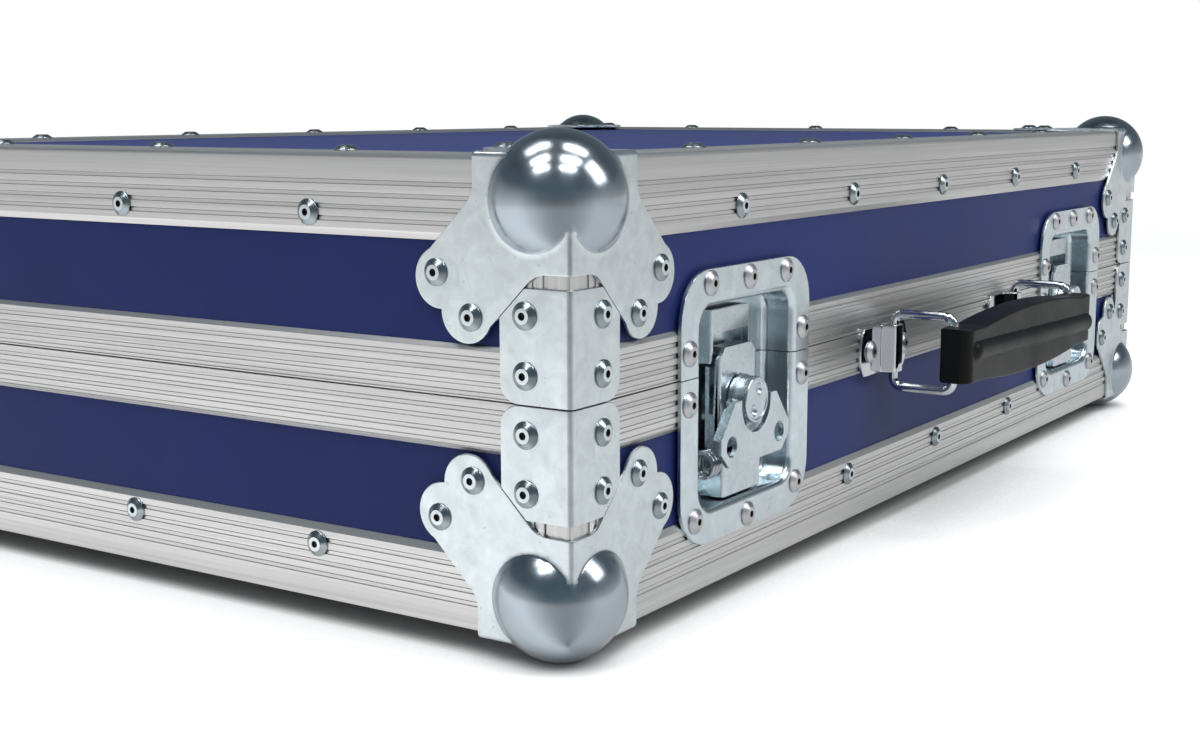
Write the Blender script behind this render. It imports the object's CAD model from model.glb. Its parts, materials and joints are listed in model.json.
"""Looks of the lighting console flight case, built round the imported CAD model.

Shapes are worked out in millimetres and scaled to metres when a piece is made.
"""

import json
import math

import bmesh
import bpy
import numpy as np
from bpy.props import FloatProperty, FloatVectorProperty, PointerProperty
from mathutils import Matrix, Vector
from mathutils.geometry import delaunay_2d_cdt

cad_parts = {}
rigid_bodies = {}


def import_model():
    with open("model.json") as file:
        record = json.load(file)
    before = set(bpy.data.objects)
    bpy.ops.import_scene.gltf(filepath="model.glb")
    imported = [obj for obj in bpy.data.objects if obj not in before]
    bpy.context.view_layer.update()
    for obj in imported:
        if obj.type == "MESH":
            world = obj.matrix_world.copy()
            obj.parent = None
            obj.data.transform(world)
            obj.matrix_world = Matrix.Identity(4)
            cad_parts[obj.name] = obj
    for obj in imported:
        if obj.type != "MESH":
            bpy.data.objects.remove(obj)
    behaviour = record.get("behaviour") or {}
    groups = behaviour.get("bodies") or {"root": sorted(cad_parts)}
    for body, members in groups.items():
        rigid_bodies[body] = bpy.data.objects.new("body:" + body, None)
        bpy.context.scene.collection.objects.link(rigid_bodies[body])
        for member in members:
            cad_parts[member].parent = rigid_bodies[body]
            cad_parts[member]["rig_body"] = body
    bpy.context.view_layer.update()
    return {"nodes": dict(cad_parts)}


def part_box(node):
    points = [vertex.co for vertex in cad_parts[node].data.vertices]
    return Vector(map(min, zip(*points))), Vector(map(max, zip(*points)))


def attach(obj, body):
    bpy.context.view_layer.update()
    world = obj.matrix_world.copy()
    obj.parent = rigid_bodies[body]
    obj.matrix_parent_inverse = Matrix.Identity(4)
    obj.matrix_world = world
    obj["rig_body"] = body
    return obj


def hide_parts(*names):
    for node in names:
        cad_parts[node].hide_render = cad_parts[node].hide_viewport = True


bl_info = {
    "name": "Flight Case Looks",
    "version": (1, 0, 0),
    "blender": (4, 5, 0),
    "location": "3D Viewport > Sidebar > Flight Case",
    "description": "Dresses the packed flight case with its finished surfaces",
    "category": "Object",
}

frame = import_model()
NODES = frame["nodes"]
MM = 0.001


def box(node):
    """The lowest and highest corner of a CAD node, in millimetres."""
    low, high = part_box(node)
    return np.array(low) / MM, np.array(high) / MM


# Faces of the case, the seam and the places of the fittings, read from the frame
LEFT = box("base_left_angle")[0][0]
RIGHT = box("base_right_angle")[1][0]
FRONT = box("base_front_angle")[0][1]
BACK = box("base_back_angle")[1][1]
BOTTOM = box("base_front_angle")[0][2]
TOP = box("lid_front_angle")[1][2]
SEAM = (box("base_corner_braces")[1][2] + box("lid_corner_braces")[0][2]) / 2
LATCH_X = (box("right_spindle")[0][0] + box("right_spindle")[1][0]) / 2
SPINDLE_Z = SEAM - 14
HANDLE_X = (box("handle_grip")[0][0] + box("handle_grip")[1][0]) / 2
HALF_GAP = 0.2

# Thickness of the angles, ball corners, braces, dishes and ring holders
ANGLE_T = 1.8
BALL_T = 1.5
BRACE_T = 1.3
DISH_T = 1.5
HOLDER_T = 1.4


def chosen_size(name):
    """A size from the panel, in millimetres."""
    return getattr(bpy.context.scene.flight_case_sizes, name) / MM


def chosen_tone(name):
    """A colour from the panel, in sRGB numbers up to 255."""
    return 255 * np.array(getattr(bpy.context.scene.flight_case_looks, name))


# Shapes in the plane


def arc(centre, radius, start, end, steps):
    """Points on a circle round centre, from angle start to angle end in degrees."""
    turn = np.radians(np.linspace(start, end, steps + 1))
    return np.array(centre) + radius * np.stack([np.cos(turn), np.sin(turn)], 1)


def fillet(corners, radii, steps=4, closed=True):
    """Rounds each corner: a rational quadratic curve with the corner as its middle point and the
    sine of half the corner's angle as its weight, which is a true arc of the given radius."""
    corners = np.array(corners, float)
    radii = np.broadcast_to(radii, len(corners))
    made = []
    for i, corner in enumerate(corners):
        if radii[i] <= 0 or (not closed and i in (0, len(corners) - 1)):
            made.append(corner[None])
            continue
        back, on = corners[i - 1] - corner, corners[(i + 1) % len(corners)] - corner
        room = [np.linalg.norm(back), np.linalg.norm(on)]
        back, on = back / room[0], on / room[1]
        half = math.acos(max(-1, min(1, back @ on))) / 2
        reach = min(radii[i] / math.tan(half), *(r * 0.49 for r in room))
        t = np.linspace(0, 1, steps + 1)[:, None]
        weight = 2 * t * (1 - t) * math.sin(half)
        first, last = corner + back * reach, corner + on * reach
        points = (1 - t) ** 2 * first + weight * corner + t**2 * last
        made.append(points / ((1 - t) ** 2 + weight + t**2))
    points = np.concatenate(made)
    step = np.linalg.norm(points - np.roll(points, 1, 0), axis=1)
    if not closed:
        step[0] = 1
    return points[step > 1e-6]


def inset(outline, distance, joined=None):
    """Draws an outline in by distance: each vertex moves by (n1 + n2) / (1 + n1.n2), where n1 and
    n2 are the outward normals of its two sides. A joined side stays where it is."""
    side = np.roll(outline, -1, 0) - outline
    normal = np.stack([side[:, 1], -side[:, 0]], 1)
    normal /= np.linalg.norm(normal, axis=1)[:, None]
    if joined is not None:
        normal[joined] = 0
    before = np.roll(normal, 1, 0)
    shift = (before + normal) / (1 + (before * normal).sum(1))[:, None]
    return outline - distance * shift


def inside(points, outline):
    """Even and odd rule: True where a ray from the point crosses the outline an odd number of
    times."""
    a, b = outline, np.roll(outline, -1, 0)
    x, y = points[:, 0:1], points[:, 1:2]
    spans = (a[:, 1] > y) != (b[:, 1] > y)
    run = np.where(spans, b[:, 1] - a[:, 1], 1)
    cross = a[:, 0] + (y - a[:, 1]) * (b[:, 0] - a[:, 0]) / run
    return (spans & (x < cross)).sum(1) % 2 == 1


def triangles(loops, extra=None):
    """Fills the first loop, less the other loops, with triangles that also use the extra points.
    Returns index triples into the loops' and extra points taken one after the other."""
    points = np.concatenate(loops + ([extra] if extra is not None and len(extra) else []))
    edges, start = [], 0
    for loop in loops:
        n = len(loop)
        edges += [(start + i, start + (i + 1) % n) for i in range(n)]
        start += n
    found = delaunay_2d_cdt([Vector(p) for p in points], edges, [], 0, 1e-7)
    where = [ids[0] for ids in found[3]]
    tris = np.array([[where[i] for i in face] for face in found[2] if len(face) == 3])
    middle = points[tris].mean(1)
    keep = inside(middle, loops[0])
    for hole in loops[1:]:
        keep &= ~inside(middle, hole)
    return tris[keep]


def pairs(across, up):
    """Every pair of a number across and a number up, row by row."""
    x, y = np.meshgrid(across, up)
    return np.column_stack([x.ravel(), y.ravel()])


def hexes(low, high, pitch):
    """Points of a triangular lattice: rows pitch * sqrt(3) / 2 apart, every other row moved by
    half a pitch."""
    rows = np.arange(low[1], high[1], pitch * math.sqrt(3) / 2)
    columns = np.arange(low[0], high[0], pitch)
    x, y = np.meshgrid(columns, rows)
    x[1::2] += pitch / 2
    return np.stack([x.ravel(), y.ravel()], 1)


# Surfaces


def grid_faces(rows, columns, wrap_rows=False, wrap_columns=False):
    """Quads between neighbouring rows and columns of a grid of points."""
    i, j = np.meshgrid(
        np.arange(rows - (not wrap_rows)), np.arange(columns - (not wrap_columns)), indexing="ij"
    )
    a = i * columns + j
    b = i * columns + (j + 1) % columns
    down = (i + 1) % rows * columns
    return np.stack([a, b, down + (j + 1) % columns, down + j], -1).reshape(-1, 4)


def end_faces(rows, n):
    """One face over the first and one over the last of the rows of n points."""
    return [list(range(n)), list(range(rows * n - 1, (rows - 1) * n - 1, -1))]


def plate(outline, holes=(), thickness=1.5, edge=0.3, extra=None, joined=None, steps=2):
    """A sheet drawn in its own plane with rounded edges: the outline is drawn in by
    e (1 - cos q) while the height rises by e sin q, with q from 0 to 90 degrees. Height 0 is the
    back, and joined sides are left open. Returns points (x, y, height) and faces."""
    turn = np.linspace(0, math.pi / 2, steps + 1)
    shift, rise = edge * (1 - np.cos(turn)), edge * np.sin(turn)
    levels = [(s, edge - r) for s, r in zip(shift[::-1], rise[::-1])]
    levels += [(s, thickness - edge + r) for s, r in zip(shift, rise)]
    loops = [outline, *holes]
    flags = [joined] + [None] * len(holes)
    rows = len(levels)
    points, faces, low_ids, high_ids, start = [], [], [], [], 0
    for loop, flag in zip(loops, flags):
        n = len(loop)
        for s, h in levels:
            ring = inset(loop, s, flag)
            points.append(np.column_stack([ring, np.full(n, h)]))
        quads = grid_faces(rows, n, wrap_columns=True)
        if flag is not None:
            quads = quads[~flag[quads[:, 0] % n]]
        faces += (quads + start).tolist()
        low_ids.append(start + np.arange(n))
        high_ids.append(start + (rows - 1) * n + np.arange(n))
        start += rows * n
    ends = [inset(loop, edge, flag) for loop, flag in zip(loops, flags)]
    if extra is None:
        extra = np.zeros((0, 2))
    caps = triangles(ends, extra)
    n = len(extra)
    points.append(np.column_stack([extra, np.zeros(n)]))
    points.append(np.column_stack([extra, np.full(n, thickness)]))
    low = np.concatenate(low_ids + [start + np.arange(n)])
    high = np.concatenate(high_ids + [start + n + np.arange(n)])
    faces += low[caps].tolist() + high[caps].tolist()
    return np.concatenate(points), faces


def run_length(path):
    """The length run along a path up to each of its points."""
    return np.concatenate([[0], np.cumsum(np.linalg.norm(np.diff(path, axis=0), axis=1))])


def follow(points, path):
    """Bends a flat sheet along a path: a point (s, b, h) goes to the path's place at length s,
    plus h times the path's left-hand normal there. Returns (path x, path y, b)."""
    length = run_length(path)
    run = np.gradient(path, length, axis=0)
    run /= np.linalg.norm(run, axis=1)[:, None]
    s = points[:, 0]
    x, y = (np.interp(s, length, path[:, k]) for k in (0, 1))
    dx, dy = (np.interp(s, length, run[:, k]) for k in (0, 1))
    size = np.hypot(dx, dy)
    beyond = np.where(s < 0, s, np.where(s > length[-1], s - length[-1], 0))
    x, y = x + beyond * dx, y + beyond * dy
    return np.stack([x - points[:, 2] * dy / size, y + points[:, 2] * dx / size, points[:, 1]], 1)


def bar(section, start, end, lean=(0, 0)):
    """A straight length of a section (p, q): points (p, q, t) at both ends, where an end's t is
    moved by lean * p for a mitre. Returns points and faces, with the section as its end faces."""
    n = len(section)
    ends = [
        np.column_stack([section, np.full(n, t) + k * section[:, 0]])
        for t, k in zip((start, end), lean)
    ]
    faces = grid_faces(2, n, wrap_columns=True).tolist() + end_faces(2, n)
    return np.concatenate(ends), faces


def put(shape, origin, p, q, t):
    """Places points (p, q, t) at origin along three directions."""
    points, faces = shape
    return np.array(origin, float) + points @ np.array([p, q, t], float), faces


def revolve(profile, segments=48):
    """Turns a profile (r, h) round the h axis: x = r cos a, y = r sin a. Ends on the axis close
    into a single point when doubles are merged."""
    turn = np.linspace(0, 2 * math.pi, segments, endpoint=False)
    r, h = np.array(profile, float).T
    x = r[:, None] * np.cos(turn)
    y = r[:, None] * np.sin(turn)
    z = np.broadcast_to(h[:, None], x.shape)
    points = np.stack([x, y, z], -1).reshape(-1, 3)
    return points, grid_faces(len(r), segments, wrap_columns=True).tolist()


def tube(path, radius, segments=16, upright=(0, 0, 1), closed=False):
    """A round tube: circles of the radius across the path, in the frame of its tangent T, the
    part of upright at right angles to T, and their cross product."""
    path = np.array(path, float)
    if closed:
        tangent = np.roll(path, -1, 0) - np.roll(path, 1, 0)
    else:
        tangent = np.gradient(path, axis=0)
    tangent /= np.linalg.norm(tangent, axis=1)[:, None]
    side = np.array(upright, float) - (tangent @ np.array(upright, float))[:, None] * tangent
    side /= np.linalg.norm(side, axis=1)[:, None]
    other = np.cross(tangent, side)
    turn = np.linspace(0, 2 * math.pi, segments, endpoint=False)[None, :, None]
    rings = path[:, None] + radius * (
        np.cos(turn) * side[:, None] + np.sin(turn) * other[:, None]
    )
    n = len(path)
    faces = grid_faces(n, segments, wrap_rows=closed, wrap_columns=True).tolist()
    if not closed:
        faces += end_faces(n, segments)
    return rings.reshape(-1, 3), faces


def soft_box(low, high, radius, pitch):
    """A block with rounded edges: each point p of the block's skin goes to c + r (p - c) / |p - c|,
    where c is p kept r inside the block."""
    low, high = np.array(low, float), np.array(high, float)
    points, faces, start = [], [], 0
    for axis in range(3):
        others = [k for k in range(3) if k != axis]
        lines = []
        for k in others:
            n = max(2, int((high[k] - low[k]) / pitch))
            near = np.array([0, 0.3, 0.7, 1]) * radius
            middle = np.linspace(low[k] + radius, high[k] - radius, n)[1:-1]
            lines.append(np.concatenate([low[k] + near, middle, high[k] - near[::-1]]))
        for side in (low[axis], high[axis]):
            u, v = np.meshgrid(*lines, indexing="ij")
            skin = np.empty((u.size, 3))
            skin[:, others[0]], skin[:, others[1]] = u.ravel(), v.ravel()
            skin[:, axis] = side
            points.append(skin)
            faces += (grid_faces(*u.shape) + start).tolist()
            start += u.size
    points = np.concatenate(points)
    core = np.clip(points, low + radius, high - radius)
    away = points - core
    return core + radius * away / np.linalg.norm(away, axis=1)[:, None], faces


# Pieces

PRESSED_SHARP = 35


def finish_mesh(mesh, sharp):
    """Merges doubles, turns the faces outwards, removes vertices that no face uses, and keeps
    edges sharper than an angle hard."""
    work = bmesh.new()
    work.from_mesh(mesh)
    bmesh.ops.remove_doubles(work, verts=work.verts, dist=2e-6)
    bmesh.ops.dissolve_degenerate(work, edges=work.edges, dist=1e-7)
    bmesh.ops.recalc_face_normals(work, faces=work.faces)
    loose = [v for v in work.verts if not v.link_faces]
    bmesh.ops.delete(work, geom=loose, context="VERTS")
    work.to_mesh(mesh)
    work.free()
    mesh.shade_smooth()
    mesh.set_sharp_from_angle(angle=math.radians(sharp))


def even_shading(made):
    """Lets the large flat faces of a piece decide its shading."""
    modifier = made.modifiers.new("even shading", "WEIGHTED_NORMAL")
    modifier.keep_sharp = True
    modifier.weight = 60


def settle(made, node, materials):
    """Gives a piece its materials and slot, rides it on its node's body and hides the node."""
    bpy.context.scene.collection.objects.link(made)
    for finish in materials:
        made.data.materials.append(material(finish))
    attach(made, NODES[node]["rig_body"])
    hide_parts(node)
    return made


def make_piece(name, node, parts, materials, sharp=35, flat=True):
    """Joins shapes in millimetres, given as (points, faces, material number), into one piece."""
    points, faces, marks, start = [], [], [], 0
    for shape, shape_faces, mark in parts:
        points.append(shape)
        faces += [[i + start for i in face] for face in shape_faces]
        marks += [mark] * len(shape_faces)
        start += len(shape)
    mesh = bpy.data.meshes.new(name)
    mesh.from_pydata((np.concatenate(points) * MM).tolist(), [], faces)
    mesh.polygons.foreach_set("material_index", marks)
    finish_mesh(mesh, sharp)
    made = settle(bpy.data.objects.new(name, mesh), node, materials)
    if flat:
        even_shading(made)
    return made


def pressed_copy(name, node, materials, width=0.35, steps=2, bends=None):
    """A copy of a CAD node with its loose triangles merged and its edges rounded. bends holds a
    test, which takes an edge's middle in millimetres and its direction and says if it is a bend,
    and the radius of the bends."""
    mesh = bpy.data.meshes.new(name)
    work = bmesh.new()
    work.from_mesh(NODES[node].data)
    bmesh.ops.remove_doubles(work, verts=work.verts, dist=1e-5)
    bmesh.ops.dissolve_limit(
        work, angle_limit=math.radians(1), verts=work.verts, edges=work.edges
    )
    if bends:
        test, radius = bends
        edges = []
        for edge in work.edges:
            start, end = (corner.co for corner in edge.verts)
            middle, run = np.array((start + end) / 2) / MM, np.array((end - start).normalized())
            if edge.is_manifold and edge.calc_face_angle(0) > 1 and test(middle, run):
                edges.append(edge)
        bmesh.ops.bevel(
            work, geom=edges, offset=radius * MM, segments=5, profile=0.5, affect="EDGES"
        )
    work.to_mesh(mesh)
    work.free()
    mesh.shade_smooth()
    mesh.set_sharp_from_angle(angle=math.radians(PRESSED_SHARP))
    made = settle(bpy.data.objects.new(name, mesh), node, materials)
    bevel = made.modifiers.new("rounded edges", "BEVEL")
    bevel.width = width * MM
    bevel.segments = steps
    bevel.limit_method = "ANGLE"
    bevel.angle_limit = math.radians(PRESSED_SHARP)
    bevel.use_clamp_overlap = True
    even_shading(made)
    return made


def islands(node):
    """The low and high corners of each separate solid of a CAD node, in millimetres: vertices at
    one place are one, and each takes the smallest label among its triangles' until none changes."""
    mesh = NODES[node].data
    points = np.empty(len(mesh.vertices) * 3, np.float32)
    mesh.vertices.foreach_get("co", points)
    points = points.reshape(-1, 3) / MM
    mesh.calc_loop_triangles()
    tris = np.empty(len(mesh.loop_triangles) * 3, np.int32)
    mesh.loop_triangles.foreach_get("vertices", tris)
    _, same = np.unique(np.round(points, 3), axis=0, return_inverse=True)
    same = same.ravel()
    tris = same[tris].reshape(-1, 3)
    label = np.arange(same.max() + 1)
    while True:
        least = label[tris].min(1)
        new = label.copy()
        for k in range(3):
            np.minimum.at(new, tris[:, k], least)
        new = new[new]
        if (new == label).all():
            break
        label = new
    own = label[same]
    return [
        (points[own == name].min(0), points[own == name].max(0)) for name in np.unique(own)
    ]


def at_corner(points, right, back, top):
    """Points measured inwards from a corner of the case, at one of its eight corners."""
    start = np.array([RIGHT if right else LEFT, BACK if back else FRONT, TOP if top else BOTTOM])
    return start + points * np.where([right, back, top], -1, 1)


def four_corners(top):
    """The four corners of the base or of the lid."""
    return [(right, back, top) for right in (False, True) for back in (False, True)]


# Shader groups


def add(tree, kind, options=None, **inputs):
    """Adds a shader node: options are its properties, and each input is a value or a link.
    An input is named with _ for a blank, or by its number as n0, n1."""
    made = tree.nodes.new(kind)
    for key, value in (options or {}).items():
        setattr(made, key, value)
    for key, value in inputs.items():
        number = key[1:]
        socket = made.inputs[int(number) if number.isdigit() else key.replace("_", " ")]
        if isinstance(value, bpy.types.NodeSocket):
            tree.links.new(value, socket)
        else:
            socket.default_value = value
    return made


def blend(tree, factor, a, b, mode="MIX"):
    """Mixes two colours."""
    options = {"data_type": "RGBA", "blend_type": mode}
    return add(tree, "ShaderNodeMix", options, n0=factor, n6=a, n7=b).outputs[2]


def blend_value(tree, factor, a, b):
    """Mixes two numbers by a factor."""
    return add(tree, "ShaderNodeMix", {"data_type": "FLOAT"}, n0=factor, n2=a, n3=b).outputs[0]


def band(tree, value, low, high, to_low=0.0, to_high=1.0):
    """Stretches a value from low..high to to_low..to_high, and keeps it within them."""
    return add(
        tree, "ShaderNodeMapRange", None, Value=value, From_Min=low, From_Max=high,
        To_Min=to_low, To_Max=to_high,
    ).outputs[0]


def maths(tree, operation, a, b=0.0):
    """One arithmetic step."""
    return add(tree, "ShaderNodeMath", {"operation": operation}, n0=a, n1=b).outputs[0]


def noise(tree, place, scale, detail=2.0, roughness=0.5, distortion=0.0):
    """Soft noise between 0 and 1."""
    return add(tree, "ShaderNodeTexNoise", None, Vector=place, Scale=scale, Detail=detail,
               Roughness=roughness, Distortion=distortion).outputs[0]


def squeezed(tree, place, scale, turn=(0.0, 0.0, 0.0)):
    """Coordinates turned and then scaled, each axis by its own number."""
    return add(tree, "ShaderNodeMapping", None, Vector=place, Rotation=turn,
               Scale=scale).outputs[0]


def dot(tree, vector, direction):
    """How far a vector runs along a direction: their dot product."""
    return add(tree, "ShaderNodeVectorMath", {"operation": "DOT_PRODUCT"}, n0=vector,
               n1=direction).outputs["Value"]


def new_group(name, inputs, outputs):
    """An empty shader group with its named inputs and outputs, or None if it is there already."""
    if name in bpy.data.node_groups:
        return None
    tree = bpy.data.node_groups.new(name, "ShaderNodeTree")
    for label, kind, default in inputs:
        socket = tree.interface.new_socket(label, in_out="INPUT", socket_type=kind)
        if default is not None:
            socket.default_value = default
    for label, kind in outputs:
        tree.interface.new_socket(label, in_out="OUTPUT", socket_type=kind)
    return tree


def give(tree, *links):
    """Joins links to the outputs of a shader group, in their order."""
    out = tree.nodes.new("NodeGroupOutput")
    for socket, link in zip(out.inputs, links):
        tree.links.new(link, socket)


FLOAT, VECTOR = "NodeSocketFloat", "NodeSocketVector"
SCRATCH_TURNS = (0.5, -0.9, 1.9)
SCRATCH_SCALE = (900.0, 9.0, 900.0)


def streaks_group():
    """Drawn and brushed lines: fine noise and a few broad bands, on a vector that is already
    squeezed along the metal's length."""
    tree = new_group(
        "drawn streaks",
        [("Vector", VECTOR, None), ("Fine Scale", FLOAT, 1.0), ("Broad Scale", FLOAT, 0.2)],
        [("Streak", FLOAT), ("Height", FLOAT)],
    )
    if tree:
        place, fine_scale, broad_scale = tree.nodes.new("NodeGroupInput").outputs[:3]
        fine = noise(tree, place, fine_scale, 4.0, 0.6)
        broad = noise(tree, place, broad_scale, 2.0, 0.6)
        both = maths(tree, "ADD", maths(tree, "MULTIPLY", fine, 0.6),
                     maths(tree, "MULTIPLY", broad, 0.4))
        give(tree, band(tree, both, 0.35, 0.65), fine)
    return bpy.data.node_groups["drawn streaks"]


def cloud_group():
    """Plated sheet: soft clouds, tiny dark specks and faint crossing scratches."""
    tree = new_group(
        "plated clouds",
        [("Vector", VECTOR, None), ("Cloud Scale", FLOAT, 130.0), ("Speck Scale", FLOAT, 500.0)],
        [("Cloud", FLOAT), ("Speck", FLOAT), ("Scratch", FLOAT), ("Height", FLOAT)],
    )
    if tree:
        place, cloud_scale, speck_scale = tree.nodes.new("NodeGroupInput").outputs[:3]
        cloud = noise(tree, place, cloud_scale, 5.0, 0.62, 0.6)
        grain = noise(tree, place, speck_scale)
        scratch = 0.0
        for turn in SCRATCH_TURNS:
            lines = squeezed(tree, place, SCRATCH_SCALE, (turn, turn * 0.7, turn))
            line = band(tree, noise(tree, lines, 1.0, 1.0), 0.72, 0.80)
            scratch = maths(tree, "MAXIMUM", line, scratch)
        give(tree, band(tree, cloud, 0.3, 0.7), band(tree, grain, 0.70, 0.76), scratch, grain)
    return bpy.data.node_groups["plated clouds"]


def use_group(tree, made, **inputs):
    """Places a shader group in a material."""
    return add(tree, "ShaderNodeGroup", {"node_tree": made}, **inputs)


def start_material(name):
    """A new material with its shader, the object's coordinates and its tree."""
    made = bpy.data.materials.new(name)
    made.use_nodes = True
    tree = made.node_tree
    shader = tree.nodes["Principled BSDF"]
    place = add(tree, "ShaderNodeTexCoord").outputs["Object"]
    return made, tree, shader, place


def wire(tree, shader, **links):
    """Joins values and links to the shader's own sockets."""
    for key, value in links.items():
        socket = shader.inputs[key.replace("_", " ")]
        if isinstance(value, bpy.types.NodeSocket):
            tree.links.new(value, socket)
        else:
            socket.default_value = value


def bump(tree, height, strength, distance):
    """A normal that leans with a height, in metres of distance."""
    return add(tree, "ShaderNodeBump", None, Height=height, Strength=strength,
               Distance=distance).outputs[0]


def colour(values):
    """A colour with full alpha from sRGB numbers, which are kept to 250."""
    c = np.minimum(values, 250) / 255
    linear = np.where(c <= 0.04045, c / 12.92, ((c + 0.055) / 1.055) ** 2.4)
    return (*linear.tolist(), 1.0)


def laminate():
    """Blue laminate: satin, with a fine even grain and faint cloudy rubbing."""
    made, tree, shader, place = start_material("blue laminate")
    cloud = noise(tree, place, 9.0, 6.0, 0.65)
    grain = noise(tree, place, 1400.0)
    tone = chosen_tone("laminate")
    shade = blend(tree, band(tree, cloud, 0.3, 0.7), colour(tone * 0.93), colour(tone * 1.06))
    wire(tree, shader, Base_Color=shade, Roughness=band(tree, cloud, 0.3, 0.7, 0.40, 0.50),
         Normal=bump(tree, grain, 0.25, 0.0001), Specular_IOR_Level=0.12)
    return made


def drawn_aluminium(axis):
    """Anodised extrusion with streaks along one axis."""
    made, tree, shader, place = start_material(f"anodised aluminium along {'xyz'[axis]}")
    scale = [900.0] * 3
    scale[axis] = 6.0
    lines = use_group(tree, streaks_group(), Vector=squeezed(tree, place, scale), Fine_Scale=1.0,
                      Broad_Scale=0.22).outputs
    tone = chosen_tone("aluminium")
    shade = blend(tree, lines["Streak"], colour(tone * 0.93), colour(tone * 1.03))
    wire(tree, shader, Base_Color=shade, Metallic=1.0,
         Roughness=band(tree, lines["Streak"], 0, 1, 0.42, 0.34),
         Normal=bump(tree, lines["Height"], 0.2, 0.00004))
    return made


def plated(name, tone, rough, contrast=1.0):
    """Zinc-plated sheet: bluish and cloudy, with tiny specks and faint scratches."""
    made, tree, shader, place = start_material(name)
    marks = use_group(tree, cloud_group(), Vector=place).outputs
    tone, spread = np.array(tone), 0.06 * contrast
    shade = blend(tree, marks["Cloud"], colour(tone * (1 - spread)),
                  colour(tone * (1 + spread / 2)))
    shade = blend(tree, maths(tree, "MULTIPLY", marks["Speck"], 0.3), shade,
                  colour((90, 98, 104)))
    shade = blend(tree, maths(tree, "MULTIPLY", marks["Scratch"], 0.12), shade,
                  colour((240, 244, 246)))
    wire(tree, shader, Base_Color=shade, Metallic=1.0,
         Roughness=band(tree, marks["Cloud"], 0, 1, rough + 0.04, rough - 0.02),
         Normal=bump(tree, marks["Height"], 0.06, 0.00004))
    return made


def plain_metal(name, tone, rough, scale=300.0):
    """A bright metal with a very fine grain in its gloss."""
    made, tree, shader, place = start_material(name)
    grain = noise(tree, place, scale, 4.0)
    wire(tree, shader, Metallic=1.0,
         Base_Color=blend(tree, grain, colour(np.array(tone) * 0.95), colour(tone)),
         Roughness=band(tree, grain, 0.3, 0.7, rough * 0.85, rough * 1.15),
         Normal=bump(tree, grain, 0.06, 0.00004))
    return made


def dark_bore():
    """The dark inside of a rivet's mandrel hole."""
    made, tree, shader, place = start_material("dark rivet bore")
    shade = blend(tree, noise(tree, place, 900.0), colour((14, 14, 16)), colour((44, 44, 46)))
    wire(tree, shader, Base_Color=shade, Roughness=0.6, Metallic=0.3)
    return made


def moulded_plastic():
    """Black moulded plastic of the grip, satin with a fine eroded grain."""
    made, tree, shader, place = start_material("black grip plastic")
    grain = noise(tree, place, 1700.0, 3.0)
    worn = noise(tree, place, 40.0, 4.0)
    wire(tree, shader, Base_Color=blend(tree, worn, colour((6, 6, 7)), colour((13, 13, 15))),
         Roughness=band(tree, worn, 0.3, 0.7, 0.34, 0.46), Specular_IOR_Level=0.18,
         Normal=bump(tree, grain, 0.3, 0.0001))
    return made


def foam():
    """Dark grey foam with open cells."""
    made, tree, shader, place = start_material("dark grey foam")
    cells = add(tree, "ShaderNodeTexVoronoi", None, Vector=place, Scale=420.0).outputs[0]
    shade = blend(tree, cells, colour((34, 34, 37)), colour((74, 74, 79)))
    shade = blend(tree, maths(tree, "MULTIPLY", noise(tree, place, 30.0, 4.0), 0.4), shade,
                  colour((52, 52, 56)))
    wire(tree, shader, Base_Color=shade, Roughness=0.95, Sheen_Weight=0.3,
         Normal=bump(tree, cells, 0.6, 0.0006))
    return made


# Each finish: its function and the values it takes
FINISHES = {
    "laminate": (laminate,),
    "drawn x": (drawn_aluminium, 0),
    "drawn y": (drawn_aluminium, 1),
    "drawn z": (drawn_aluminium, 2),
    "zinc": (plated, "plated zinc sheet", (212, 220, 223), 0.30),
    "pale zinc": (plated, "plated latch steel", (200, 210, 215), 0.26, 0.7),
    "dish zinc": (plated, "plated dish steel", (208, 219, 224), 0.24, 0.8),
    "ball": (plain_metal, "polished ball", (176, 186, 194), 0.20, 150.0),
    "rivet": (plain_metal, "rivet aluminium", (198, 198, 200), 0.37),
    "steel rivet": (plain_metal, "plated rivet steel", (158, 168, 173), 0.24),
    "bore": (dark_bore,),
    "chrome": (plain_metal, "bright chrome", (206, 209, 214), 0.07),
    "spring": (plain_metal, "spring steel", (170, 174, 180), 0.16),
    "plastic": (moulded_plastic,),
    "foam": (foam,),
}
READY = {}


def material(name):
    """A finish by its name, made when it is first used."""
    if name not in READY:
        make, *values = FINISHES[name]
        READY[name] = make(*values)
    return READY[name]


# Extrusions

# Case angle
LEG = 30.0
LEG_BEVEL = 2.6
BEVEL_LAND = 0.5
FIRST_RECESS = 9.4
RECESS_PITCH = 4.5
GROOVE_W = 0.42
GROOVE_MORE = 0.5

# Closure profile
WALL = 1.8
INNER_WALL = 8.8
PROFILE_DEEP = 10.4
PROFILE_REACH = 17.4
LIP = 19.0
EXTRUSION_SHARP = 24
LATCH_ROOM = 40.0


def recess(start, end):
    """One recess as (along, depth) corners with their radii, and a deeper groove against its
    start."""
    depth = chosen_size("recess_depth")
    groove = start + math.copysign(GROOVE_W, end - start)
    corners = [(start, 0), (start, depth + GROOVE_MORE), (groove, depth + GROOVE_MORE),
               (groove, depth), (end, depth), (end, 0)]
    return corners, [0.1, 0.1, 0.1, 0.1, 0.2, 0.16]


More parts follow.
